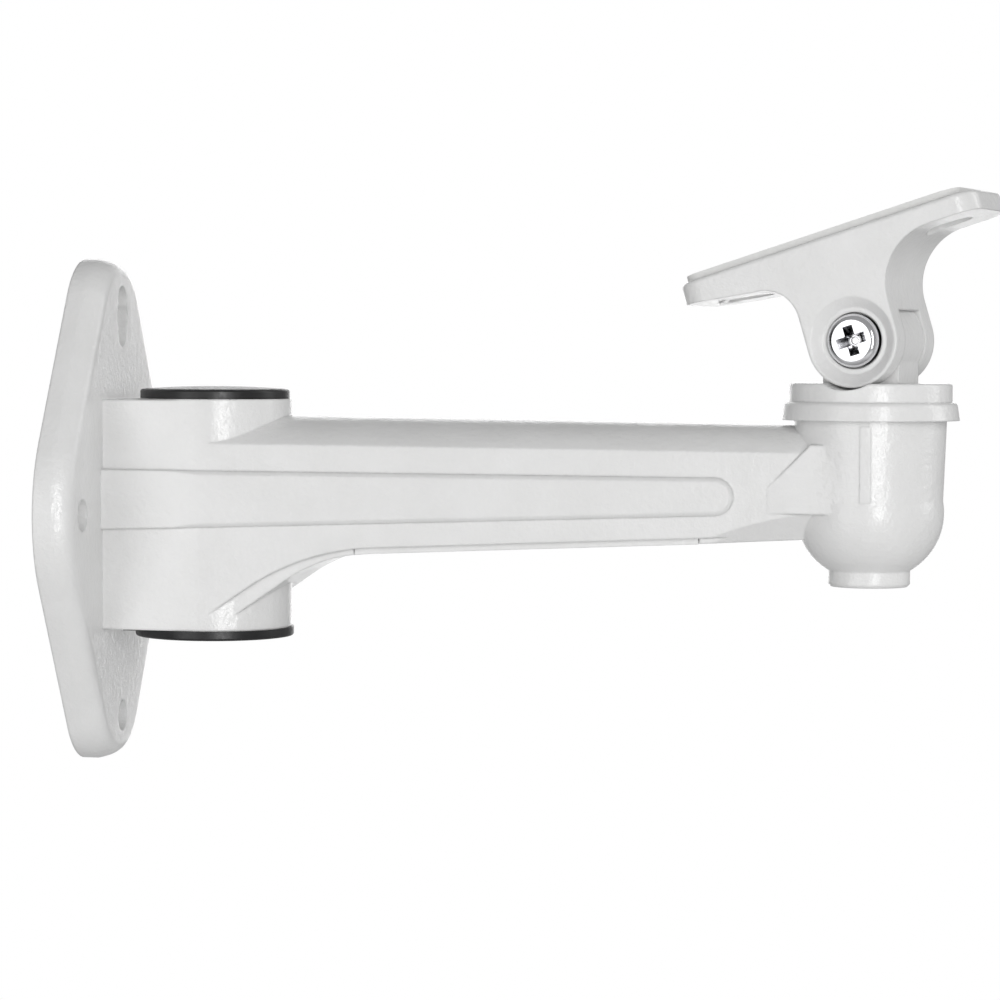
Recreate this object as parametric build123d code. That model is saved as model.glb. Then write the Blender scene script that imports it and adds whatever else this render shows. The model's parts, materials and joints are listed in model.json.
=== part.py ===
"""Wall bracket for a security camera: die-cast arm with a wall plate, panning turret and tilting saddle.

Frame: millimetres. The origin is the centre of the wall face of the plate, on the line between the two side
holes. +X points along the arm, away from the wall, and +Z points up.
"""

import os
from math import asin, atan2, cos, hypot, radians, sin, sqrt, tan

from build123d import *

# ---------------------------------------------------------------- driving dimensions, mm and degrees

# wall plate: a rounded diamond, crowned at its edge and hollow at the back
plate_height = 97.1
plate_width = 70.0
plate_end_r = 15.5
plate_side_r = 25.0
plate_rim = 2.8
plate_thick = 7.1
plate_bevel = 3.2
plate_side_wall = 3.0
plate_front_wall = 3.3

# holes for the wall screws: distances are from the plate's edge to the middle of each hole
wall_hole_d = 6.0
side_hole_edge = 8.6
lower_hole_edge = 8.35
upper_slot_edge = 11.05
upper_slot_length = 11.7
upper_slot_width = 5.6
upper_slot_entry_d = 7.0
screw_pad_wall = 2.5

# block and vertical cable-port boss
block_half_width = 13.2
boss_x = 25.7
boss_d = 29.8
boss_height = 44.0
boss_mid_z = -0.3
block_step = 0.2
port_bore_d = 23.0

# arm: half widths are measured on the planes of the boss and of the cup
reach = 151.9
arm_half_width_cup = 9.6
arm_side_top_boss = 13.4
arm_side_top_cup = 12.4
arm_crown_boss = 5.3
arm_crown_cup = 4.9
arm_wall = 2.6
arm_under_cup_z = -2.24
arm_under_angle = 2.35
gusset_foot_back = 2.1
gusset_angle = 35.0
gusset_blend_r = 46.0
keel_foot_ahead = 2.9
keel_blend_r = 30.0

# neck between the cover and the cup
neck_length = 30.9
neck_keel_drop = 1.1
neck_chamfer = 4.2
neck_flare_r = 40.0
neck_flare_floor = 1.2
neck_flare_low = 6.0
neck_flare_high = 14.0

# raised band along both sides of the arm
band_proud = 1.1
band_edge = 0.65
band_top_wall = 8.3
band_low_wall = -3.4
band_end_z = 4.25
band_end_r = 3.5
band_end_back = 24.5

# cable channel and its cover: "back" is measured from the cup's axis, "ahead" from the boss's far side
channel_end_back = 23.9
cover_start_ahead = 15.4
cover_end_back = 31.1
cover_thick = 2.4
cover_proud = 1.2
cover_inset = 1.5
cover_gap = 0.15
cover_ledge = 2.0
cover_screw_inset_rear = 9.0
cover_screw_inset_front = 7.8
cover_screw_post_wall = 2.0
cable_exit_width = 13.0

# cup, nozzle and the bolt seat inside it
cup_d = 28.5
cup_draft = 1.2
cup_wall = 3.05
cup_top_z = 19.2
cup_round_z = 3.5
cup_bottom_z = -9.6
cup_floor_z = -1.0
cup_floor_thick = 4.0
cup_rib_width = 2.0
cup_rib_proud = 0.15
nozzle_d = 15.3
nozzle_wall = 1.25
nozzle_length = 3.0
nozzle_lip = 0.5

# turret: its flange laps over the cup's rim and its spigot turns in the cup's bore
turret_flange_over = 2.35
turret_flange_draft = 0.5
turret_disc_over = 0.95
turret_skirt_gap = 0.35
turret_lap = 0.7
turret_flange_height = 3.4
turret_disc_height = 3.5
spigot_floor_gap = 1.6
running_gap = 0.08
face_gap = 0.05
bearing_washer_thick = 0.6
bearing_washer_inset = 0.3
seal_section_d = 1.8
seal_below_rim = 7.2

# tilt pivot
pivot_rise = 7.9
lug_width = 11.4
lug_r = 8.45
lug_half_base = 7.4
ear_thick = 5.0
ear_r = 8.7
ear_sweep_gap = 0.45
fork_open_z = 3.4
friction_washer_thick = 0.4
friction_washer_d = 13.0

# saddle, in its own frame: the pivot is the origin and its flat top is level
saddle_wall_end = 30.8
saddle_far_end = 29.3
saddle_top = 20.0
saddle_plate_thick = 3.8
saddle_root_thick = 5.9
saddle_corner_r = 5.0
saddle_fillet_wall_side = 7.0
saddle_fillet_far_side = 11.0
saddle_edge_r = 0.8
saddle_slot_x = 20.5
saddle_slot_length = 9.0
saddle_slot_width = 6.6
saddle_slot_rim = 1.8
saddle_slot_rim_proud = 1.0
pad_wall_end = 29.4
pad_far_end = 26.2
pad_edge = 1.6
pad_thick = 1.3
dish_edge = 0.6
dish_floor_d = 12.4
dish_depth = 1.6
screw_seat_depth = 3.4

# the pose that the bracket is stored in
pan_angle = -15.0
tilt_angle = 17.0

# fasteners: shank diameter, head diameter and head height
pivot_screw_d = 5.0
pivot_screw_length = 22.0
pivot_head_d = 9.9
pivot_head_height = 2.7
pivot_head_gap = 0.3
pivot_recess_d = 5.6
pivot_recess_width = 1.9
pivot_recess_depth = 2.3
pivot_washer_d = 9.2
pivot_washer_thick = 1.1
pivot_nut_flats = 8.0
pivot_nut_thick = 4.0
nut_pocket_depth = 3.2
pan_bolt_d = 6.0
pan_bolt_length = 22.0
pan_bolt_flats = 10.0
pan_bolt_head = 4.0
pan_washer_gap = 0.4
pan_flat_washer_thick = 1.4
pan_spring_washer_thick = 1.6
cover_screw_d = 3.0
cover_screw_head_d = 5.6
cover_screw_head_height = 1.6
cover_screw_length = 8.0
hole_gap = 0.25
washer_split = 0.8
shank_chamfer = 0.5

# rubber plugs: the flange of the upper one is a little smaller than the boss, that of the lower one larger
upper_plug_inset = 0.5
lower_plug_over = 0.4
plug_flange_height = 1.75
plug_flange_edge = 0.5
plug_crown = 0.55
plug_stem_height = 9.0
plug_wall = 2.0
plug_lead_in = 0.6
plug_tab_width = 9.0
plug_tab_thick = 0.9
plug_tab_reach = 1.8

# ---------------------------------------------------------------- places worked out from those

plate_cavity_depth = plate_thick - plate_front_wall
side_hole_spacing = plate_width - 2 * side_hole_edge
lower_hole_z = lower_hole_edge - plate_height / 2
upper_slot_z = plate_height / 2 - upper_slot_edge
boss_top = boss_mid_z + boss_height / 2
boss_bottom = boss_mid_z - boss_height / 2
arm_half_width_boss = boss_d / 2 - face_gap
gusset_foot_x = boss_x - gusset_foot_back
keel_foot_x = boss_x + keel_foot_ahead
neck_start_x = reach - neck_length
band_end_x = reach - band_end_back
channel_end_x = reach - channel_end_back
cover_start_x = boss_x + boss_d / 2 + cover_start_ahead
cover_end_x = reach - cover_end_back
cover_screw_x = (cover_start_x + cover_screw_inset_rear, cover_end_x - cover_screw_inset_front)
arm_slope = (arm_half_width_boss - arm_half_width_cup) / (reach - boss_x)
cup_foot_d = cup_d - cup_draft
cup_bore_d = cup_d - 2 * cup_wall
nozzle_bore_d = nozzle_d - 2 * nozzle_wall
nozzle_end_z = cup_bottom_z - nozzle_length
bolt_seat_z = cup_floor_z - cup_floor_thick
bearing_top_z = cup_top_z + bearing_washer_thick
turret_flange_d = cup_d + 2 * turret_flange_over
turret_disc_d = cup_d + 2 * turret_disc_over
turret_skirt_z = cup_top_z - turret_lap
turret_ledge_z = turret_skirt_z + turret_flange_height
turret_top_z = turret_ledge_z + turret_disc_height
spigot_end_z = cup_floor_z + spigot_floor_gap
seal_z = cup_top_z - seal_below_rim
pan_flat_washer_d = nozzle_bore_d - 2 * pan_washer_gap
pan_spring_washer_d = pan_flat_washer_d - pan_washer_gap
bolt_head_z = bolt_seat_z - face_gap - pan_flat_washer_thick - pan_spring_washer_thick
bolt_tip_z = bolt_head_z + pan_bolt_length
pivot_z = turret_top_z + pivot_rise
lug_half = lug_width / 2
ear_inner = lug_half + friction_washer_thick + face_gap
ear_outer = ear_inner + ear_thick
screw_seat_y = -(ear_outer - screw_seat_depth)
screw_seat_d = pivot_head_d + 2 * pivot_head_gap
nut_seat_y = ear_outer - nut_pocket_depth
dish_d = 2 * (ear_r - dish_edge)
saddle_under = saddle_top - saddle_plate_thick
pad_width = 2 * (ear_outer - pad_edge)


def on_cup(shape):
    """Places a shape that is drawn about the pan axis."""
    return Pos(reach, 0, 0) * shape


def on_pan(shape):
    """Places a turret shape, drawn with its lug square to the arm, in the stored pose."""
    return Pos(reach, 0, 0) * Rot(0, 0, pan_angle) * shape


def on_tilt(shape):
    """Places a saddle shape, drawn level about the pivot, in the stored pose."""
    return Pos(reach, 0, pivot_z) * Rot(0, 0, pan_angle) * Rot(0, -tilt_angle, 0) * shape


def rod(radius, low, high):
    """Upright cylinder from one height to another."""
    return Pos(0, 0, low) * Cylinder(radius, high - low, align=(Align.CENTER, Align.CENTER, Align.MIN))


def ring(outer, inner, low, high):
    """Upright ring from one height to another."""
    return rod(outer, low, high) - rod(inner, low - 1, high + 1)


def cross_rod(radius, low, high):
    """Cylinder along Y from one place to another."""
    return Rot(-90, 0, 0) * rod(radius, low, high)


def cross_ring(outer, inner, low, high):
    """Ring about Y from one place to another."""
    return cross_rod(outer, low, high) - cross_rod(inner, low - 1, high + 1)


def block(low, high):
    """Box between two opposite corners."""
    size = [b - a for a, b in zip(low, high)]
    return Pos(*low) * Box(*size, align=(Align.MIN, Align.MIN, Align.MIN))


# ---------------------------------------------------------------- wall plate


def plate_outline(inset, x):
    """Outline of the plate on the plane at x, moved inwards by inset: four arcs and their common tangents."""
    end_c = plate_height / 2 - plate_end_r
    side_c = plate_width / 2 - plate_side_r
    lean = atan2(side_c, end_c) + asin((plate_side_r - plate_end_r) / hypot(end_c, side_c))
    end_r = plate_end_r - inset
    side_r = plate_side_r - inset

    def at(centre, radius, angle):
        return (x, centre[0] + radius * cos(angle), centre[1] + radius * sin(angle))

    edges = []
    quarter = radians(90)
    corners = [
        ((side_c, 0), side_r, 0),
        ((0, end_c), end_r, 1),
        ((-side_c, 0), side_r, 2),
        ((0, -end_c), end_r, 3),
    ]
    joints = []
    for centre, radius, turn in corners:
        half = lean if turn % 2 == 0 else quarter - lean
        middle = turn * quarter
        start, top, end = (at(centre, radius, middle + s * half) for s in (-1, 0, 1))
        edges.append(ThreePointArc(start, top, end))
        joints.append((start, end))
    for (_, end), (start, _) in zip(joints, joints[1:] + joints[:1]):
        edges.append(Line(end, start))
    return make_face(edges)


def plate_solid():
    """Rim with straight walls, and a crowned edge that levels out on the flat face."""
    rim = extrude(plate_outline(0, 0), amount=plate_rim, dir=(1, 0, 0))
    rise = plate_thick - plate_rim
    steps = ((0, 0), (0.28, 0.62), (0.58, 0.9), (1, 1))
    crown = loft([plate_outline(plate_bevel * a, plate_rim + rise * b) for a, b in steps])
    return rim + crown


def plate_holes():
    """Two side holes, one hole below and one slot above, with a round entry for a screw head."""
    deep = plate_thick + 2
    hole = Pos(-1, 0, 0) * Rot(0, 90, 0) * rod(wall_hole_d / 2, 0, deep)
    cuts = [Pos(0, s * side_hole_spacing / 2, 0) * hole for s in (-1, 1)]
    cuts.append(Pos(0, 0, lower_hole_z) * hole)
    slot = extrude(Plane((-1, 0, upper_slot_z), x_dir=(0, 0, 1), z_dir=(1, 0, 0))
                   * SlotOverall(upper_slot_length, upper_slot_width), amount=deep)
    entry = Pos(-1, 0, upper_slot_z) * Rot(0, 90, 0) * rod(upper_slot_entry_d / 2, 0, deep)
    return cuts + [slot, entry]


def plate_cavity():
    """Hollow of the plate's back, with a solid pad left round every hole."""
    hollow = extrude(plate_outline(plate_side_wall, -1), amount=plate_cavity_depth + 1, dir=(1, 0, 0))
    pad = Pos(-2, 0, 0) * Rot(0, 90, 0) * rod(wall_hole_d / 2 + screw_pad_wall, 0, plate_cavity_depth + 3)
    for s in (-1, 1):
        hollow -= Pos(0, s * side_hole_spacing / 2, 0) * pad
    hollow -= Pos(0, 0, lower_hole_z) * pad
    half = (upper_slot_length - upper_slot_width) / 2
    for s in (-1, 0, 1):
        hollow -= Pos(0, 0, upper_slot_z + s * half) * pad
    return hollow


# ---------------------------------------------------------------- arm


def arm_half_width(x):
    return arm_half_width_boss - arm_slope * (x - boss_x)


def between(at_boss, at_cup, x):
    """Value that changes evenly from the boss to the cup."""
    return at_boss + (at_cup - at_boss) * (x - boss_x) / (reach - boss_x)


def arm_section(x, inset):
    """Cross section of the arm: flat sides and an arched top. Inset moves every wall inwards."""
    half = arm_half_width(x) - inset
    side = between(arm_side_top_boss, arm_side_top_cup, x) - inset / 2
    crown = side + between(arm_crown_boss, arm_crown_cup, x) - inset / 2
    low = boss_bottom
    points = [(x, -half, side), (x, -half, low), (x, half, low), (x, half, side)]
    arch = ThreePointArc(points[3], (x, 0, crown), points[0])
    return make_face([Line(a, b) for a, b in zip(points, points[1:])] + [arch])


def arm_bar(inset, start, end):
    return loft([arm_section(start, inset), arm_section(end, inset)], ruled=True)


def under_line(x, drop=0):
    """Height of the arm's straight underside."""
    return arm_under_cup_z - drop - (reach - x) * tan(radians(arm_under_angle))


def gusset_profile(foot, blend_r, drop, start, end):
    """Side view of the arm between two places: a straight gusset, blended into the straight underside."""
    run, flat = radians(gusset_angle), radians(arm_under_angle)
    corner_x = (under_line(0, drop) - foot[1] + tan(run) * foot[0]) / (tan(run) - tan(flat))
    corner_z = under_line(corner_x, drop)
    back = blend_r * tan((run - flat) / 2)
    a = (corner_x - back * cos(run), 0, corner_z - back * sin(run))
    b = (corner_x + back * cos(flat), 0, corner_z + back * sin(flat))
    end_z = under_line(reach, drop)
    outline = [
        Line((foot[0], 0, foot[1]), a),
        TangentArc(a, b, tangent=(cos(run), 0, sin(run))),
        Line(b, (reach, 0, end_z)),
        Line((reach, 0, end_z), (reach, 0, boss_top)),
        Line((reach, 0, boss_top), (foot[0], 0, boss_top)),
        Line((foot[0], 0, boss_top), (foot[0], 0, foot[1])),
    ]
    slab = extrude(make_face(outline), amount=boss_d, dir=(0, 1, 0), both=True)
    return slab & block((start, -boss_d, boss_bottom - 5), (end, boss_d, boss_top + 5))


def side_profile(start, end, drop=0):
    """Side view of the arm's side walls."""
    return gusset_profile((gusset_foot_x, boss_bottom - drop), gusset_blend_r, drop, start, end)


def gusset_keel():
    """Middle of the gusset's underside, which hangs lower than the side walls and runs into the cover."""
    end = cover_start_x - cover_gap
    slab = gusset_profile((keel_foot_x, boss_bottom), keel_blend_r, cover_proud, keel_foot_x, end)
    half_a, half_b = (arm_half_width(x) - cover_inset for x in (keel_foot_x, end))
    corners = [(keel_foot_x, -half_a), (end, -half_b), (end, half_b), (keel_foot_x, half_a)]
    plan = make_face(Polyline(*corners, close=True))
    return slab & extrude(Pos(0, 0, boss_bottom) * plan, amount=band_end_z - boss_bottom)


def neck_keel():
    """Middle of the underside between the cover and the cup, a little lower than the side walls."""
    faces = []
    for x in (neck_start_x, reach - cup_wall):
        half = arm_half_width(x) - neck_keel_drop
        high, low = under_line(x) + 1, under_line(x, neck_keel_drop)
        corners = [(-half, high), (-half, low), (half, low), (half, high)]
        faces.append(make_face(Polyline(*[(x, y, z) for y, z in corners], close=True)))
    return loft(faces, ruled=True)


def neck_corner_cut(side):
    """Wedge that takes away a lower corner of the neck, more and more towards the cup."""
    faces = []
    for along, share in ((0, 0), (0.42, 0.72), (1, 1)):
        x = neck_start_x + 2 + along * (neck_length - 4)
        cut = neck_keel_drop + neck_chamfer * share
        half, low = arm_half_width(x), under_line(x, neck_keel_drop)
        corners = [(half - cut - 2, low - 2), (half + 2, low - 2), (half + 2, low + cut + 2)]
        faces.append(make_face(Polyline(*[(x, side * y, z) for y, z in corners], close=True)))
    return loft(faces)


def neck_flare():
    """Both sides of the neck sweep out in a hollow curve that meets the cup's wall without a step."""
    cup_r = cup_foot_d / 2
    half = arm_half_width(reach - cup_d / 2 - neck_flare_low)
    centre_y = half + neck_flare_r
    ahead = sqrt((cup_r + neck_flare_r) ** 2 - centre_y**2)
    start_x = reach - ahead
    share = cup_r / (cup_r + neck_flare_r)
    end = (reach - ahead * share, centre_y * share)
    half_turn = asin(ahead / (cup_r + neck_flare_r)) / 2
    mid = (start_x + neck_flare_r * sin(half_turn), centre_y - neck_flare_r * cos(half_turn))
    plan = make_face([
        ThreePointArc((start_x, half), mid, end),
        Line(end, (reach, end[1])),
        Line((reach, end[1]), (reach, -end[1])),
        Line((reach, -end[1]), (end[0], -end[1])),
        ThreePointArc((end[0], -end[1]), (mid[0], -mid[1]), (start_x, -half)),
        Line((start_x, -half), (start_x, half)),
    ])
    prism = extrude(Pos(0, 0, neck_flare_floor) * plan, amount=neck_flare_high - neck_flare_floor)
    side_view = make_face(Polyline((start_x - 1, 0, neck_flare_floor), (start_x - 1, 0, neck_flare_low - 1),
                                   (start_x + neck_flare_high - neck_flare_low, 0, neck_flare_high),
                                   (reach, 0, neck_flare_high), (reach, 0, neck_flare_floor), close=True))
    return prism & extrude(side_view, amount=cup_d, dir=(0, 1, 0), both=True)


def body_walls():
    """Block, boss and arm. The block's top lies a little below that of the boss."""
    start = plate_thick / 2
    end = reach - cup_wall
    half_wall, half_boss = block_half_width, arm_half_width_boss
    plan = make_face(Polyline((start, -half_wall), (boss_x, -half_boss), (boss_x, half_boss),
                              (start, half_wall), close=True))
    walls = extrude(Pos(0, 0, boss_bottom) * plan, amount=boss_height - block_step)
    walls += Pos(boss_x, 0, 0) * rod(boss_d / 2, boss_bottom, boss_top)
    return walls + (arm_bar(0, boss_x, end) & side_profile(boss_x, end))


def band_solid():
    """Raised band, which narrows along the arm to a round end. Its edges are chamfered."""
    low = Vector(0, 0, band_low_wall)
    top = Vector(0, 0, band_top_wall)
    end = (band_end_x - band_end_r, band_end_z)

    def tangent(start_z, side):
        """Point where the line from the wall meets the round end."""
        dx, dz = end[0], end[1] - start_z
        away = hypot(dx, dz)
        turn = atan2(dz, dx) + side * asin(band_end_r / away)
        length = sqrt(away**2 - band_end_r**2)
        return (length * cos(turn), 0, start_z + length * sin(turn))

    upper, lower = tangent(top.Z, 1), tangent(low.Z, -1)
    outline = [
        Line((0, 0, low.Z), lower),
        ThreePointArc(lower, (band_end_x, 0, band_end_z), upper),
        Line(upper, (0, 0, top.Z)),
        Line((0, 0, top.Z), (0, 0, low.Z)),
    ]
    prism = extrude(make_face(outline), amount=boss_d, dir=(0, 1, 0), both=True)
    stations = [
        (plate_thick / 2, block_half_width + band_proud),
        (boss_x, boss_d / 2 + band_proud),
        (reach, arm_half_width_cup + band_proud),
    ]
    corners = [(x, -y) for x, y in stations] + [(x, y) for x, y in reversed(stations)]
    plan = make_face(Polyline(*corners, close=True))
    band = prism & extrude(Pos(0, 0, boss_bottom) * plan, amount=boss_height)
    outer = [e for e in band.edges()
             if abs(e.center().Y) > arm_half_width(e.center().X) + band_proud / 2
             and e.center().X > plate_thick and abs(e.center().X - boss_x) > 0.5]
    return chamfer(outer, band_edge)


def cup_solid():
    """Round cup with a rounded bottom, a short nozzle below it and a low rib down its near side."""
    top_r, foot_r, nozzle_r = cup_d / 2, cup_foot_d / 2, nozzle_d / 2
    drop = cup_round_z - cup_bottom_z
    middle = (nozzle_r + (foot_r - nozzle_r) * 0.79, 0, cup_round_z - drop * 0.62)
    outline = [
        Line((0, 0, cup_top_z), (top_r, 0, cup_top_z)),
        Line((top_r, 0, cup_top_z), (foot_r, 0, cup_round_z)),
        ThreePointArc((foot_r, 0, cup_round_z), middle, (nozzle_r, 0, cup_bottom_z)),
        Line((nozzle_r, 0, cup_bottom_z), (nozzle_r, 0, nozzle_end_z + nozzle_lip)),
        Line((nozzle_r, 0, nozzle_end_z + nozzle_lip), (nozzle_r - nozzle_lip, 0, nozzle_end_z)),
        Line((nozzle_r - nozzle_lip, 0, nozzle_end_z), (0, 0, nozzle_end_z)),
        Line((0, 0, nozzle_end_z), (0, 0, cup_top_z)),
    ]
    body = revolve(make_face(outline), axis=Axis.Z)
    skin = Pos(0, 0, cup_round_z) * Cone(foot_r + cup_rib_proud, top_r + cup_rib_proud,
                                         cup_top_z - cup_round_z,
                                         align=(Align.CENTER, Align.CENTER, Align.MIN))
    rib = skin & block((-cup_rib_width / 2, -cup_d, cup_round_z), (cup_rib_width / 2, 0, turret_skirt_z - 1))
    return on_cup(body + rib)


def arm_hollow():
    """Cable space: window through plate and block, bore of the boss, channel in the arm and its way out."""
    inner_half = block_half_width - arm_wall
    window = block((-1, -inner_half, boss_bottom + arm_wall), (boss_x, inner_half, boss_top - arm_wall))
    bore = Pos(boss_x, 0, 0) * rod(port_bore_d / 2, boss_bottom - 1, boss_top + 1)
    channel = arm_bar(arm_wall, boss_x, channel_end_x) & side_profile(boss_x, channel_end_x, -arm_wall)
    way_out = block((cover_end_x + 1, -cable_exit_width / 2, boss_bottom),
                    (channel_end_x, cable_exit_width / 2, band_end_z))
    return [window, bore, channel, way_out, cover_opening()]


def cover_opening():
    """Opening above the cover. A ledge is left round it, which the cover sits on."""
    start, end = cover_start_x + cover_ledge, cover_end_x - cover_ledge
    half_a, half_b = (arm_half_width(x) - cover_inset - cover_ledge for x in (start, end))
    plan = make_face(Polyline((start, -half_a), (end, -half_b), (end, half_b), (start, half_a), close=True))
    return extrude(Pos(0, 0, boss_bottom) * plan, amount=band_end_z - boss_bottom)


def cover_seat(gap):
    """Strip of the underside that the cover fills, wider by gap on each side and at each end."""
    strip = side_profile(cover_start_x - gap, cover_end_x + gap, cover_proud)
    strip -= side_profile(cover_start_x - 2, cover_end_x + 2, cover_proud - cover_thick)
    half_a, half_b = (arm_half_width(x) - cover_inset + gap for x in (cover_start_x, cover_end_x))
    plan = make_face(Polyline((cover_start_x - gap, -half_a), (cover_end_x + gap, -half_b),
                              (cover_end_x + gap, half_b), (cover_start_x - gap, half_a), close=True))
    return strip & extrude(Pos(0, 0, boss_bottom) * plan, amount=boss_height)


def make_arm_casting():
    casting = plate_solid() + body_walls() + gusset_keel() + neck_keel()
    for side in (-1, 1):
        casting -= neck_corner_cut(side)
    casting += neck_flare() + cup_solid()
    casting += band_solid()
    for cut in arm_hollow():
        casting -= cut
    for x in cover_screw_x:
        seat = under_line(x, cover_proud - cover_thick)
        crown = between(arm_side_top_boss + arm_crown_boss, arm_side_top_cup + arm_crown_cup, x)
        casting += Pos(x, 0, 0) * rod(cover_screw_d / 2 + cover_screw_post_wall, seat, crown - arm_wall / 2)
        casting -= Pos(x, 0, 0) * rod(cover_screw_d / 2, seat - 1, seat + cover_screw_length)
    casting -= plate_cavity()
    for cut in plate_holes():
        casting -= cut
    casting -= cover_seat(cover_gap)
    casting -= on_cup(rod(cup_bore_d / 2, cup_floor_z, cup_top_z + 1))
    casting -= on_cup(rod(pan_bolt_d / 2 + hole_gap, bolt_seat_z - 1, cup_floor_z + 1))
    casting -= on_cup(rod(nozzle_bore_d / 2, nozzle_end_z - 1, bolt_seat_z))
    return casting


def make_channel_cover():
    cover = cover_seat(0)
    for x in cover_screw_x:
        face = under_line(x, cover_proud)
        cover -= Pos(x, 0, face) * Cone(cover_screw_head_d / 2 + hole_gap, cover_screw_d / 2 + hole_gap,
                                        cover_screw_head_height, align=(Align.CENTER, Align.CENTER, Align.MIN))
        cover -= Pos(x, 0, 0) * rod(cover_screw_head_d / 2 + hole_gap, face - 2, face)
        cover -= Pos(x, 0, 0) * rod(cover_screw_d / 2 + hole_gap, face - 1, face + cover_thick + 1)
    return cover


def cross_recess(size, width, depth):
    """Cross-shaped driver recess that opens towards -Z and tapers to its floor."""
    arms = []
    for turn in (0, 90):
        mouth = Rot(0, 0, turn) * Rectangle(size, width)
        floor = Pos(0, 0, depth) * Rot(0, 0, turn) * Rectangle(size * 0.45, width * 0.7)
        arms.append(loft([mouth, floor], ruled=True))
    core = Cone(size * 0.26, size * 0.12, depth * 1.1, align=(Align.CENTER, Align.CENTER, Align.MIN))
    return arms[0] + arms[1] + core


def make_cover_screw(x):
    face = under_line(x, cover_proud) + hole_gap / 2
    head = Cone(cover_screw_head_d / 2, cover_screw_d / 2, cover_screw_head_height,
                align=(Align.CENTER, Align.CENTER, Align.MIN))
    screw = head + rod(cover_screw_d / 2, cover_screw_head_height / 2, cover_screw_length)
    screw -= cross_recess(cover_screw_head_d * 0.54, cover_screw_head_d * 0.125,
                          cover_screw_head_height * 0.75)
    return Pos(x, 0, face) * screw


# ---------------------------------------------------------------- rubber plugs


def port_plug(flange_d):
    """Plug drawn with the underside of its flange at Z = 0, its hollow stem below and a low crown on top."""
    stem_r = port_bore_d / 2 - running_gap
    flange_r = flange_d / 2
    flange = rod(flange_r, 0, plug_flange_height)
    flange = fillet(flange.edges().group_by(Axis.Z)[-1], plug_flange_edge)
    crown_r = (flange_r**2 + plug_crown**2) / (2 * plug_crown)
    crown = Pos(0, 0, plug_flange_height + plug_crown - crown_r) * Sphere(crown_r)
    crown_edge = flange_r - 2 * plug_flange_edge
    flange += crown & rod(crown_edge, plug_flange_height / 2, plug_flange_height + plug_crown)
    stem = ring(stem_r, stem_r - plug_wall, -plug_stem_height, plug_flange_height / 2)
    stem = chamfer(stem.edges().group_by(Axis.Z)[0].sort_by(SortBy.LENGTH)[-1], plug_lead_in)
    return flange + stem


def make_upper_plug():
    return Pos(boss_x, 0, boss_top + face_gap) * port_plug(boss_d - 2 * upper_plug_inset)


def make_lower_plug():
    """The lower plug has a thumb tab on the side towards the wall."""
    flange_d = boss_d + 2 * lower_plug_over
    tab_end = flange_d / 2 + plug_tab_reach
    tab = block((-tab_end, -plug_tab_width / 2, 0), (-boss_d / 4, plug_tab_width / 2, plug_tab_thick))
    return Pos(boss_x, 0, boss_bottom - face_gap) * Rot(180, 0, 0) * (port_plug(flange_d) + tab)


# ---------------------------------------------------------------- turret and what clamps it


def make_turret():
    flange = Pos(0, 0, turret_skirt_z) * Cone(turret_flange_d / 2, turret_flange_d / 2 - turret_flange_draft,
                                              turret_flange_height,
                                              align=(Align.CENTER, Align.CENTER, Align.MIN))
    flange = fillet(flange.edges().group_by(Axis.Z)[-1], 0.9)
    disc = rod(turret_disc_d / 2, turret_skirt_z + 1, turret_top_z)
    disc = fillet(disc.edges().group_by(Axis.Z)[-1], 0.5)
    lug = cross_rod(lug_r, -lug_half, lug_half)
    lug = Pos(0, 0, pivot_z) * lug + block((-lug_half_base, -lug_half, turret_top_z - 1),
                                            (lug_half_base, lug_half, pivot_z))
    spigot = rod(cup_bore_d / 2 - running_gap, spigot_end_z, bearing_top_z + 1)
    ceiling = bearing_top_z + face_gap
    turret = flange + disc
    turret -= rod(cup_d / 2 + turret_skirt_gap, turret_skirt_z - 1, ceiling)
    turret += spigot
    for side in (-1, 1):
        near, far = sorted((side * lug_half, side * turret_disc_d))
        scoop = Pos(0, 0, pivot_z) * cross_rod(ear_r + ear_sweep_gap, near, far)
        turret -= scoop & rod(turret_disc_d, turret_ledge_z, pivot_z)
    turret += lug
    groove = ring(cup_bore_d / 2 + 1, cup_bore_d / 2 - running_gap / 2 - seal_section_d - face_gap,
                  seal_z - seal_section_d * 0.6, seal_z + seal_section_d * 0.6)
    turret -= groove
    turret -= rod(pan_bolt_d / 2, spigot_end_z - 1, bolt_tip_z + 1.5)
    turret -= Pos(0, 0, pivot_z) * cross_rod(pivot_screw_d / 2 + running_gap, -lug_width, lug_width)
    return on_pan(turret)


def make_seal_ring():
    centre_r = cup_bore_d / 2 - running_gap / 2 - seal_section_d / 2
    section = Pos(centre_r, 0, seal_z) * Rot(90, 0, 0) * Circle(seal_section_d / 2)
    return on_pan(revolve(section, axis=Axis.Z))


def make_bearing_washer():
    outer, inner = cup_d / 2 - bearing_washer_inset, cup_bore_d / 2 + bearing_washer_inset
    return on_cup(ring(outer, inner, cup_top_z, bearing_top_z))


def make_pan_flat_washer():
    top = bolt_seat_z - face_gap
    bottom = top - pan_flat_washer_thick
    return on_pan(ring(pan_flat_washer_d / 2, pan_bolt_d / 2 + hole_gap / 2, bottom, top))


def make_pan_spring_washer():
    top = bolt_seat_z - face_gap - pan_flat_washer_thick
    washer = ring(pan_spring_washer_d / 2, pan_bolt_d / 2 + hole_gap / 2, top - pan_spring_washer_thick, top)
    slit = Rot(0, 20, 0) * Box(washer_split, pan_spring_washer_d, pan_spring_washer_d)
    return on_pan(washer - Pos(0, pan_spring_washer_d / 2, top) * slit)


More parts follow.
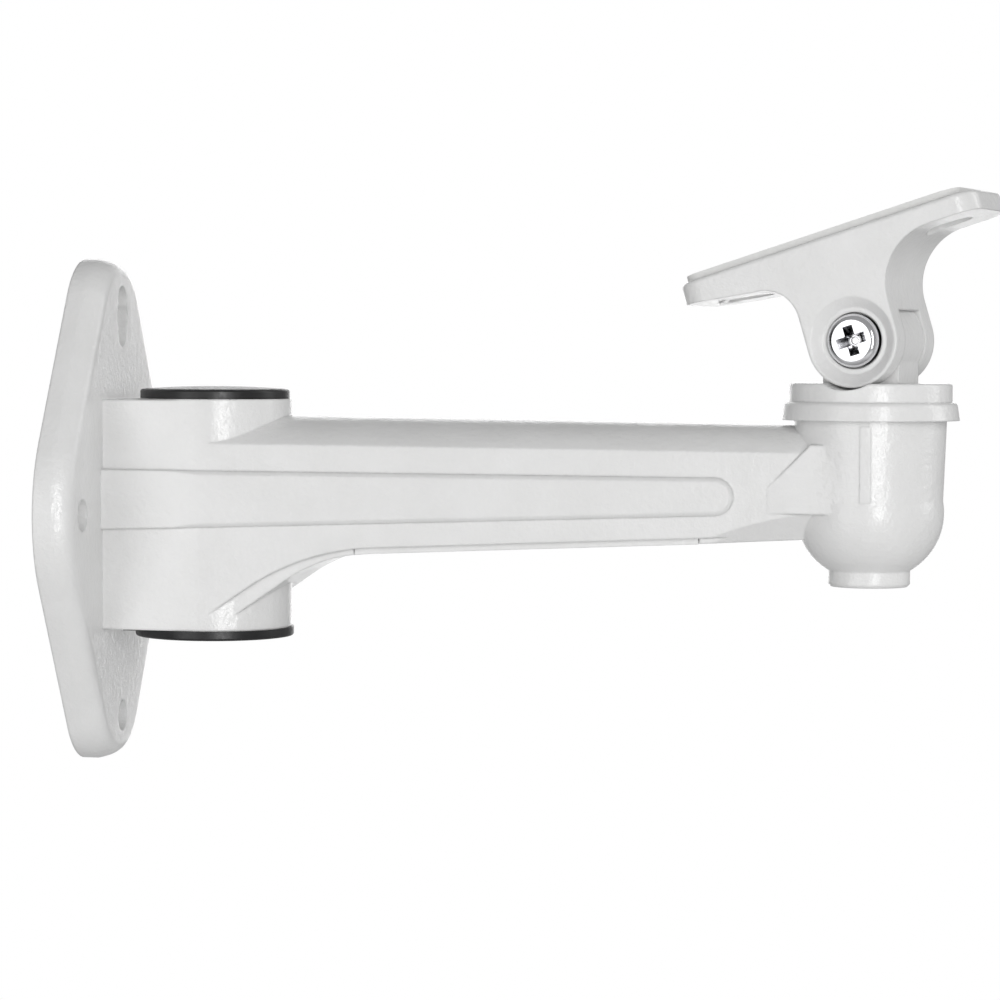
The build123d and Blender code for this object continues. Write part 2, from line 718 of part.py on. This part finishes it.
def make_pan_bolt():
    shank = rod(pan_bolt_d / 2, bolt_head_z, bolt_tip_z)
    shank = chamfer(shank.edges().group_by(Axis.Z)[-1], shank_chamfer)
    head = extrude(RegularPolygon(pan_bolt_flats / 2, 6, major_radius=False), amount=pan_bolt_head)
    head &= Cone(pan_bolt_flats * 0.66, pan_bolt_flats * 0.46, pan_bolt_head,
                 align=(Align.CENTER, Align.CENTER, Align.MIN))
    return on_pan(shank + Pos(0, 0, bolt_head_z) * Rot(180, 0, 0) * head)


# ---------------------------------------------------------------- saddle and its pivot


def saddle_side_view():
    """Side view of the saddle: a thin plate on a waisted stem that ends in the round ears."""
    wall_fillet_z = saddle_top - saddle_root_thick - saddle_fillet_wall_side
    far_fillet_z = saddle_under - saddle_fillet_far_side
    bend = sin(radians(45))

    def inner(side, radius, centre_z):
        """Middle of the concave quarter that joins stem and plate."""
        return (side * (ear_r + radius * (1 - bend)), 0, centre_z + radius * bend)

    p = [
        (saddle_far_end, 0, saddle_top),
        (saddle_far_end, 0, saddle_under),
        (ear_r + saddle_fillet_far_side, 0, saddle_under),
        (ear_r, 0, far_fillet_z),
        (ear_r, 0, 0),
        (-ear_r, 0, 0),
        (-ear_r, 0, wall_fillet_z),
        (-ear_r - saddle_fillet_wall_side, 0, saddle_top - saddle_root_thick),
        (-saddle_wall_end, 0, saddle_under),
        (-saddle_wall_end, 0, saddle_top),
    ]
    edges = [
        Line(p[0], p[1]),
        Line(p[1], p[2]),
        ThreePointArc(p[2], inner(1, saddle_fillet_far_side, far_fillet_z), p[3]),
        Line(p[3], p[4]),
        ThreePointArc(p[4], (0, 0, -ear_r), p[5]),
        Line(p[5], p[6]),
        ThreePointArc(p[6], inner(-1, saddle_fillet_wall_side, wall_fillet_z), p[7]),
        Line(p[7], p[8]),
        Line(p[8], p[9]),
        Line(p[9], p[0]),
    ]
    return make_face(edges)


def saddle_slot(x, clearance, low, high):
    """Upright slot for a camera screw."""
    shape = SlotOverall(saddle_slot_length + 2 * clearance, saddle_slot_width + 2 * clearance)
    return extrude(Pos(x, 0, low) * shape, amount=high - low)


def make_saddle():
    saddle = extrude(saddle_side_view(), amount=ear_outer, dir=(0, 1, 0), both=True)
    middle_x = (saddle_far_end - saddle_wall_end) / 2
    plan_length = saddle_wall_end + saddle_far_end
    plan = Pos(middle_x, 0) * RectangleRounded(plan_length, 2 * ear_outer, saddle_corner_r)
    saddle &= extrude(Pos(0, 0, -ear_r - 1) * plan, amount=saddle_top + ear_r + 2)
    saddle = fillet(saddle.edges().group_by(Axis.Z)[-1], saddle_edge_r)
    fork = cross_rod(lug_r + ear_sweep_gap, -ear_inner, ear_inner)
    fork += block((-ear_r - 1, -ear_inner, -ear_r - 1), (ear_r + 1, ear_inner, fork_open_z))
    saddle -= fork
    rim_foot = saddle_under - saddle_slot_rim_proud
    saddle += saddle_slot(-saddle_slot_x, saddle_slot_rim, rim_foot, saddle_top - 1)
    for x in (-saddle_slot_x, saddle_slot_x):
        saddle -= saddle_slot(x, 0, 0, saddle_top + 1)
    saddle -= Rot(-90, 0, 0) * Pos(0, 0, -ear_outer) * Cone(dish_d / 2, dish_floor_d / 2, dish_depth,
                                                            align=(Align.CENTER, Align.CENTER, Align.MIN))
    saddle -= cross_rod(screw_seat_d / 2, -ear_outer, screw_seat_y)
    saddle -= cross_rod(pivot_screw_d / 2 + hole_gap, -ear_outer, ear_outer)
    flats_r = pivot_nut_flats / 2 + hole_gap / 2
    pocket = extrude(RegularPolygon(flats_r, 6, major_radius=False), amount=nut_pocket_depth + 1)
    saddle -= Rot(-90, 0, 0) * Pos(0, 0, nut_seat_y) * pocket
    return on_tilt(saddle)


def make_pad():
    plan = RectangleRounded(pad_wall_end + pad_far_end, pad_width, saddle_corner_r - pad_edge)
    pad = extrude(Pos((pad_far_end - pad_wall_end) / 2, 0, saddle_top) * plan, amount=pad_thick)
    for x in (-saddle_slot_x, saddle_slot_x):
        pad -= saddle_slot(x, hole_gap, saddle_top - 1, saddle_top + pad_thick + 1)
    return on_tilt(pad)


def make_pivot_screw():
    seat = screw_seat_y - pivot_washer_thick
    head = cross_rod(pivot_head_d / 2, seat - pivot_head_height, seat)
    head = fillet(head.edges().group_by(Axis.Y)[0], pivot_head_height / 2)
    shank = cross_rod(pivot_screw_d / 2, seat, seat + pivot_screw_length)
    shank = chamfer(shank.edges().group_by(Axis.Y)[-1], shank_chamfer)
    recess = cross_recess(pivot_recess_d, pivot_recess_width, pivot_recess_depth)
    return on_tilt(head + shank - Rot(-90, 0, 0) * Pos(0, 0, seat - pivot_head_height) * recess)


def make_pivot_washer():
    washer = cross_ring(pivot_washer_d / 2, pivot_screw_d / 2 + hole_gap / 2,
                        screw_seat_y - pivot_washer_thick, screw_seat_y)
    slit = Rot(0, 0, 20) * Box(washer_split, pivot_washer_d, pivot_washer_d)
    return on_tilt(washer - Pos(0, screw_seat_y, -pivot_washer_d / 2) * slit)


def make_pivot_nut():
    nut = extrude(RegularPolygon(pivot_nut_flats / 2, 6, major_radius=False), amount=pivot_nut_thick)
    crown = Cone(pivot_nut_flats * 0.68, pivot_nut_flats * 0.5, pivot_nut_thick,
                 align=(Align.CENTER, Align.CENTER, Align.MIN))
    nut = (nut & crown) - rod(pivot_screw_d / 2, -1, pivot_nut_thick + 1)
    return on_tilt(Rot(-90, 0, 0) * Pos(0, 0, nut_seat_y) * nut)


def make_friction_washer(side):
    inner_y, outer_y = sorted((side * lug_half, side * (lug_half + friction_washer_thick)))
    washer = cross_ring(friction_washer_d / 2, pivot_screw_d / 2 + running_gap, inner_y, outer_y)
    return on_pan(Pos(0, 0, pivot_z) * washer)


# ---------------------------------------------------------------- write the parts

parts = {
    "arm_casting": make_arm_casting(),
    "channel_cover": make_channel_cover(),
    "cover_screw_rear": make_cover_screw(cover_screw_x[0]),
    "cover_screw_front": make_cover_screw(cover_screw_x[1]),
    "upper_port_plug": make_upper_plug(),
    "lower_port_plug": make_lower_plug(),
    "pan_bearing_washer": make_bearing_washer(),
    "pan_turret": make_turret(),
    "pan_seal_ring": make_seal_ring(),
    "pan_flat_washer": make_pan_flat_washer(),
    "pan_spring_washer": make_pan_spring_washer(),
    "pan_clamp_bolt": make_pan_bolt(),
    "tilt_friction_washer_near": make_friction_washer(-1),
    "tilt_friction_washer_far": make_friction_washer(1),
    "tilt_saddle": make_saddle(),
    "saddle_pad": make_pad(),
    "pivot_screw": make_pivot_screw(),
    "pivot_spring_washer": make_pivot_washer(),
    "pivot_nut": make_pivot_nut(),
}

os.makedirs("parts", exist_ok=True)
for name, shape in parts.items():
    export_step(shape, f"parts/{name}.step")
    print(name, len(shape.solids()), round(shape.volume, 1), "mm3")
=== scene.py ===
"""Wall bracket for a security camera: the finish of every piece, then the room it is shown in.

Metres. +X points along the arm, away from the wall, and +Z points up.
"""

import json
from math import cos, radians, sin, tau

import bpy
from mathutils import Matrix, Vector


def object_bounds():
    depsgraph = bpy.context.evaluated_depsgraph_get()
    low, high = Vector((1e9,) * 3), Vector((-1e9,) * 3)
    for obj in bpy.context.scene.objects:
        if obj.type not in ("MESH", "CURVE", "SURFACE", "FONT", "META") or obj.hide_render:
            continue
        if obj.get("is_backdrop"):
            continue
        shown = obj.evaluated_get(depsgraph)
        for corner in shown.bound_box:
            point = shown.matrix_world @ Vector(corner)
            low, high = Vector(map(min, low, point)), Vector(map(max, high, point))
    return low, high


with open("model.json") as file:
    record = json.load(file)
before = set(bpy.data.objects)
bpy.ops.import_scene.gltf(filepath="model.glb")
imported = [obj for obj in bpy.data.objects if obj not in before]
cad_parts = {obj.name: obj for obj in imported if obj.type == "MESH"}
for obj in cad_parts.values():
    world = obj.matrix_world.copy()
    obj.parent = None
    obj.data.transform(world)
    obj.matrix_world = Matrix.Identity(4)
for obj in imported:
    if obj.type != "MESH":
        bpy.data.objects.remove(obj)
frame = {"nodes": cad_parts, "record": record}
cad_low, cad_high = (list(corner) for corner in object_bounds())


# ---- Arm casting.
# Wall plate, cable block, hollow arm and cup are one pressure die casting in aluminium. It is blasted and
# then powder coated white, which leaves soft edges and a fine orange-peel skin. Screws hold it to the wall.

corner_gap = 1e-6
crisp_angle = radians(28)


def dress(node_name, material):
    """Gives a piece its finish, and clean shading: joined corners, with true edges left crisp."""
    piece = frame["nodes"][node_name]
    piece.data.materials.clear()
    piece.data.materials.append(material)
    for face in piece.data.polygons:
        face.use_smooth = True
    join = piece.modifiers.new("join_corners", "WELD")
    join.merge_threshold = corner_gap
    split = piece.modifiers.new("crisp_edges", "EDGE_SPLIT")
    split.split_angle = crisp_angle
    even = piece.modifiers.new("even_shading", "WEIGHTED_NORMAL")
    even.keep_sharp = True


def plain_material(name, colour, roughness, metallic=0.0):
    """Material with its shader's own values set, ready for grain and relief."""
    material = bpy.data.materials.new(name)
    material.use_nodes = True
    shader = material.node_tree.nodes["Principled BSDF"]
    shader.inputs["Base Color"].default_value = (*colour, 1)
    shader.inputs["Roughness"].default_value = roughness
    shader.inputs["Metallic"].default_value = metallic
    return material, material.node_tree.nodes, material.node_tree.links, shader


def grain(nodes, links, size, detail=2.0):
    """Noise whose lumps are about size metres across, fixed to the piece."""
    place = nodes.new("ShaderNodeTexCoord")
    noise = nodes.new("ShaderNodeTexNoise")
    noise.inputs["Scale"].default_value = 1 / size
    noise.inputs["Detail"].default_value = detail
    links.new(place.outputs["Object"], noise.inputs["Vector"])
    return noise.outputs["Fac"]


def ramp(nodes, links, height, low, high):
    """Colour that runs from low to high as height goes from a quarter to three quarters."""
    band = nodes.new("ShaderNodeValToRGB")
    band.color_ramp.elements[0].position = 0.25
    band.color_ramp.elements[0].color = (*low, 1)
    band.color_ramp.elements[1].position = 0.75
    band.color_ramp.elements[1].color = (*high, 1)
    links.new(height, band.inputs["Fac"])
    return band.outputs["Color"]


def relief(nodes, links, height, depth, normal=None):
    """Bump of a given depth in metres, laid over another relief where there is one."""
    bump = nodes.new("ShaderNodeBump")
    bump.inputs["Distance"].default_value = depth
    links.new(height, bump.inputs["Height"])
    if normal:
        links.new(normal, bump.inputs["Normal"])
    return bump.outputs["Normal"]


coat_colour = (0.8, 0.8, 0.795)
peel_size, peel_depth = 0.0011, 0.0001
grit_size, grit_depth = 0.00032, 0.00004
tone_size, sheen_size = 0.009, 0.0016


def powder_coat(name, edge_radius):
    """White powder coat: rounded edges, orange peel with fine grit in it, and a faint unevenness in tone."""
    material, nodes, links, shader = plain_material(name, coat_colour, 0.36)
    shader.inputs["Specular IOR Level"].default_value = 0.5
    shader.inputs["Coat Weight"].default_value = 0.45
    shader.inputs["Coat Roughness"].default_value = 0.16
    soft_edge = nodes.new("ShaderNodeBevel")
    soft_edge.samples = 6
    soft_edge.inputs["Radius"].default_value = edge_radius
    peel = relief(nodes, links, grain(nodes, links, peel_size, 1.0), peel_depth, soft_edge.outputs["Normal"])
    grit = relief(nodes, links, grain(nodes, links, grit_size, 1.0), grit_depth, peel)
    links.new(grit, shader.inputs["Normal"])
    links.new(grit, shader.inputs["Coat Normal"])
    tone = ramp(nodes, links, grain(nodes, links, tone_size, 4.0), (0.775, 0.775, 0.77), (0.82, 0.82, 0.818))
    links.new(tone, shader.inputs["Base Color"])
    sheen = ramp(nodes, links, grain(nodes, links, sheen_size, 2.0), (0.3, 0.3, 0.3), (0.42, 0.42, 0.42))
    links.new(sheen, shader.inputs["Roughness"])
    return material


dress("arm_casting", powder_coat("casting_coat", 0.0007))


# ---- Cable channel cover and its two screws.
# A pressed strip in the same coated aluminium closes the channel under the arm. Two small countersunk
# zinc-plated screws hold it to posts inside the arm.

dress("channel_cover", powder_coat("cover_coat", 0.0003))


def zinc_plate(name):
    """Dull bluish zinc on steel, a little blotchy, with fine scratches."""
    material, nodes, links, shader = plain_material(name, (0.62, 0.64, 0.67), 0.3, 1.0)
    tone = ramp(nodes, links, grain(nodes, links, 0.0012, 3.0), (0.5, 0.52, 0.56), (0.68, 0.7, 0.73))
    links.new(tone, shader.inputs["Base Color"])
    wear = ramp(nodes, links, grain(nodes, links, 0.0007, 3.0), (0.22, 0.22, 0.22), (0.42, 0.42, 0.42))
    links.new(wear, shader.inputs["Roughness"])
    links.new(relief(nodes, links, grain(nodes, links, 0.0002, 2.0), 0.00001), shader.inputs["Normal"])
    return material


zinc = zinc_plate("zinc")
dress("cover_screw_rear", zinc)
dress("cover_screw_front", zinc)


# ---- Port plugs and the turret's seal.
# Moulded black rubber. Each plug is pushed into an end of the boss by its hollow stem, and its low crown
# has a satin skin; the seal is a ring in the turret's groove.

rubber_colour = (0.011, 0.011, 0.012)
rubber, rubber_nodes, rubber_links, rubber_shader = plain_material("black_rubber", rubber_colour, 0.34)
rubber_shader.inputs["Specular IOR Level"].default_value = 0.5
rubber_skin = ramp(rubber_nodes, rubber_links, grain(rubber_nodes, rubber_links, 0.0008, 3.0),
                   (0.28, 0.28, 0.28), (0.46, 0.46, 0.46))
rubber_links.new(rubber_skin, rubber_shader.inputs["Roughness"])
rubber_pores = relief(rubber_nodes, rubber_links, grain(rubber_nodes, rubber_links, 0.0003, 2.0), 0.000012)
rubber_links.new(rubber_pores, rubber_shader.inputs["Normal"])
for name in ("upper_port_plug", "lower_port_plug", "pan_seal_ring"):
    dress(name, rubber)


# ---- Turret.
# A smaller coated casting: flange, disc, tilt lug and a spigot that turns in the cup. It is cast and
# coated like the arm, and a bolt from below clamps it down.

dress("pan_turret", powder_coat("turret_coat", 0.0005))


# ---- Clamp bolt, its washers and the plain bearing washers.
# Zinc-plated steel bolt with a flat and a spring washer, up through the nozzle. The bearing ring under
# the flange and the two thin discs beside the lug are natural nylon.

for name in ("pan_clamp_bolt", "pan_flat_washer", "pan_spring_washer", "pivot_nut"):
    dress(name, zinc)

nylon, nylon_nodes, nylon_links, nylon_shader = plain_material("natural_nylon", (0.84, 0.83, 0.78), 0.42)
nylon_shader.inputs["Subsurface Weight"].default_value = 0.25
nylon_shader.inputs["Subsurface Scale"].default_value = 0.0015
nylon_cloud = ramp(nylon_nodes, nylon_links, grain(nylon_nodes, nylon_links, 0.003, 3.0),
                   (0.82, 0.81, 0.755), (0.86, 0.855, 0.81))
nylon_links.new(nylon_cloud, nylon_shader.inputs["Base Color"])
nylon_tool = relief(nylon_nodes, nylon_links, grain(nylon_nodes, nylon_links, 0.0005, 2.0), 0.00001)
nylon_links.new(nylon_tool, nylon_shader.inputs["Normal"])
for name in ("pan_bearing_washer", "tilt_friction_washer_near", "tilt_friction_washer_far"):
    dress(name, nylon)


# ---- Saddle.
# The camera's seat: a coated casting with two ears that clasp the turret's lug, and slots for the
# camera's screws. The near ear is dished round its screw.

dress("tilt_saddle", powder_coat("saddle_coat", 0.0006))


# ---- Saddle pad.
# A strip of pale soft plastic sheet, die-cut and glued to the saddle's top so that the camera does not
# slip or scratch.

pad_sheet, pad_nodes, pad_links, pad_shader = plain_material("pad_sheet", (0.78, 0.78, 0.77), 0.62)
pad_tone = ramp(pad_nodes, pad_links, grain(pad_nodes, pad_links, 0.002, 4.0),
                (0.75, 0.75, 0.74), (0.8, 0.8, 0.79))
pad_links.new(pad_tone, pad_shader.inputs["Base Color"])
pad_links.new(relief(pad_nodes, pad_links, grain(pad_nodes, pad_links, 0.0006, 3.0), 0.00004),
              pad_shader.inputs["Normal"])
dress("saddle_pad", pad_sheet)


# ---- Pivot screw and its spring washer.
# Bright nickel-plated steel. The pan head was turned, so fine rings run round its axis and catch the
# light. The cross recess was punched, and painted shade turns the colour near black in its depths and other
# hollows.

tilt_joint = next(joint for joint in frame["record"]["behaviour"]["joints"] if joint["name"] == "tilt")
pivot_axis = Vector(tilt_joint["axis"]).normalized()
nickel_colour = (0.8, 0.8, 0.82)
nickel, nickel_nodes, nickel_links, nickel_shader = plain_material("bright_nickel", nickel_colour, 0.1, 1.0)
nickel_place = nickel_nodes.new("ShaderNodeTexCoord")
from_pivot = nickel_nodes.new("ShaderNodeVectorMath")
from_pivot.operation = "SUBTRACT"
from_pivot.inputs[1].default_value = tilt_joint["pos_m"]
nickel_links.new(nickel_place.outputs["Object"], from_pivot.inputs[0])
off_axis = nickel_nodes.new("ShaderNodeVectorMath")
off_axis.operation = "CROSS_PRODUCT"
off_axis.inputs[1].default_value = pivot_axis
nickel_links.new(from_pivot.outputs["Vector"], off_axis.inputs[0])
off_length = nickel_nodes.new("ShaderNodeVectorMath")
off_length.operation = "LENGTH"
nickel_links.new(off_axis.outputs["Vector"], off_length.inputs[0])
ring_pitch = 0.00022
rings = nickel_nodes.new("ShaderNodeMath")
rings.operation = "SINE"
ring_count = nickel_nodes.new("ShaderNodeMath")
ring_count.operation = "MULTIPLY"
ring_count.inputs[1].default_value = tau / ring_pitch
nickel_links.new(off_length.outputs["Value"], ring_count.inputs[0])
nickel_links.new(ring_count.outputs[0], rings.inputs[0])
ring_depth = 0.0000015
turned = relief(nickel_nodes, nickel_links, rings.outputs[0], ring_depth)
nickel_links.new(turned, nickel_shader.inputs["Normal"])
nickel_haze = ramp(nickel_nodes, nickel_links, grain(nickel_nodes, nickel_links, 0.0006, 3.0),
                   (0.07, 0.07, 0.07), (0.17, 0.17, 0.17))
nickel_links.new(nickel_haze, nickel_shader.inputs["Roughness"])
# Painted shade: an occlusion mask darkens the nickel's colour to near black in the cross recess and in the
# washer's gaps.
painted_shade_mask = nickel_nodes.new("ShaderNodeAmbientOcclusion")
painted_shade_mask.samples = 8
painted_shade_mask.inputs["Distance"].default_value = 0.0016
nickel_painted_shade = nickel_nodes.new("ShaderNodeValToRGB")
nickel_painted_shade.color_ramp.elements[0].position = 0.5
nickel_painted_shade.color_ramp.elements[0].color = (0.02, 0.02, 0.022, 1)
nickel_painted_shade.color_ramp.elements[1].position = 0.75
nickel_painted_shade.color_ramp.elements[1].color = (*nickel_colour, 1)
nickel_links.new(painted_shade_mask.outputs["AO"], nickel_painted_shade.inputs["Fac"])
nickel_links.new(nickel_painted_shade.outputs["Color"], nickel_shader.inputs["Base Color"])
dress("pivot_screw", nickel)
dress("pivot_spring_washer", nickel)


# ---- Floor.
# A round plain board, painted a matt light grey. It lies well below the bracket, which is held to its wall
# by screws and touches nothing else.

scene = bpy.context.scene
middle = (Vector(cad_low) + Vector(cad_high)) / 2
floor_drop = 0.35
floor_reach = 1.4
floor_z = cad_low[2] - floor_drop
edge = [(middle.x + floor_reach * cos(radians(turn)), floor_reach * sin(radians(turn)), floor_z)
        for turn in range(0, 360, 5)]
floor = bpy.data.objects.new("floor", bpy.data.meshes.new("floor"))
floor.data.from_pydata(edge, [], [tuple(range(len(edge)))])
board, board_nodes, board_links, board_shader = plain_material("pale_board", (0.66, 0.66, 0.66), 0.85)
board_cloud = grain(board_nodes, board_links, 0.2, 3.0)
board_links.new(ramp(board_nodes, board_links, board_cloud, (0.65,) * 3, (0.67,) * 3),
                board_shader.inputs["Base Color"])
floor.data.materials.append(board)
scene.collection.objects.link(floor)
floor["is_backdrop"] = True


# ---- Studio light.
# White paper all round, a tall soft box in front and to the right, a broad fill at the front left, a narrow
# box on the far right and a broad one behind. A dark doorway on the left is mirrored in the bright metal.

scene.view_settings.view_transform = "Standard"
room = bpy.data.worlds.new("room")
room.use_nodes = True
room_nodes, room_links = room.node_tree.nodes, room.node_tree.links
direction = room_nodes.new("ShaderNodeTexCoord")
behind = room_nodes.new("ShaderNodeVectorMath")
behind.operation = "DOT_PRODUCT"
behind.inputs[1].default_value = Vector((-0.9, -0.4, -0.2)).normalized()
room_links.new(direction.outputs["Generated"], behind.inputs[0])
falloff = room_nodes.new("ShaderNodeValToRGB")
falloff.color_ramp.elements[0].position = 0.7
falloff.color_ramp.elements[0].color = (0.35, 0.35, 0.35, 1)
falloff.color_ramp.elements[1].position = 0.93
falloff.color_ramp.elements[1].color = (0.03, 0.03, 0.03, 1)
room_links.new(behind.outputs["Value"], falloff.inputs["Fac"])
glow = room_nodes["Background"]
room_links.new(falloff.outputs["Color"], glow.inputs["Color"])
glow.inputs["Strength"].default_value = 1.0
paper = room_nodes.new("ShaderNodeBackground")
paper.inputs["Color"].default_value = (1, 1, 1, 1)
seen = room_nodes.new("ShaderNodeLightPath")
either = room_nodes.new("ShaderNodeMixShader")
room_links.new(seen.outputs["Is Camera Ray"], either.inputs["Fac"])
room_links.new(glow.outputs[0], either.inputs[1])
room_links.new(paper.outputs[0], either.inputs[2])
room_links.new(either.outputs[0], room_nodes["World Output"].inputs["Surface"])
scene.world = room


def soft_box(name, azimuth, height, distance, size, watts):
    """Rectangular soft box that faces the bracket, at an angle in degrees to the right of the front."""
    lamp = bpy.data.lights.new(name, "AREA")
    lamp.shape = "RECTANGLE"
    lamp.size, lamp.size_y = size
    lamp.energy = watts
    box = bpy.data.objects.new(name, lamp)
    away = Vector((sin(radians(azimuth)), -cos(radians(azimuth)), height))
    box.location = middle + away * distance
    box.rotation_euler = (-away).to_track_quat("-Z", "Y").to_euler()
    scene.collection.objects.link(box)


soft_box("front_box", 22, 0.06, 1.0, (0.2, 0.7), 4.4)
soft_box("fill_box", -30, 0.0, 1.1, (0.6, 0.8), 2.5)
soft_box("right_box", 104, 0.3, 0.9, (0.25, 0.6), 1.6)
soft_box("back_box", 190, 0.1, 1.2, (0.8, 0.8), 3.6)


# ---- Viewpoint.
# A long lens on a stand at the open side of the bracket, almost level with the arm. It stands a little
# beyond the arm's middle and leans by a fraction of a degree.

view_azimuth = radians(9.9)
view_elevation = radians(2.56)
view_roll = radians(0.26)
view_distance = 0.6426
lens_mm = 121.3
aim = middle + Vector((-0.0064, -middle.y, -0.0037))
towards = Vector((-sin(view_azimuth) * cos(view_elevation), cos(view_azimuth) * cos(view_elevation),
                  -sin(view_elevation)))
right = Vector((cos(view_azimuth), sin(view_azimuth), 0))
up = right.cross(towards)
side = right * cos(view_roll) + up * sin(view_roll)
top = up * cos(view_roll) - right * sin(view_roll)
camera = bpy.data.objects.new("camera", bpy.data.cameras.new("camera"))
camera.data.lens = lens_mm
camera.data.clip_start = 0.02
camera.data.clip_end = 20
turn = Matrix((side, top, -towards)).transposed()
camera.matrix_world = Matrix.Translation(aim - towards * view_distance) @ turn.to_4x4()
scene.collection.objects.link(camera)
scene.camera = camera
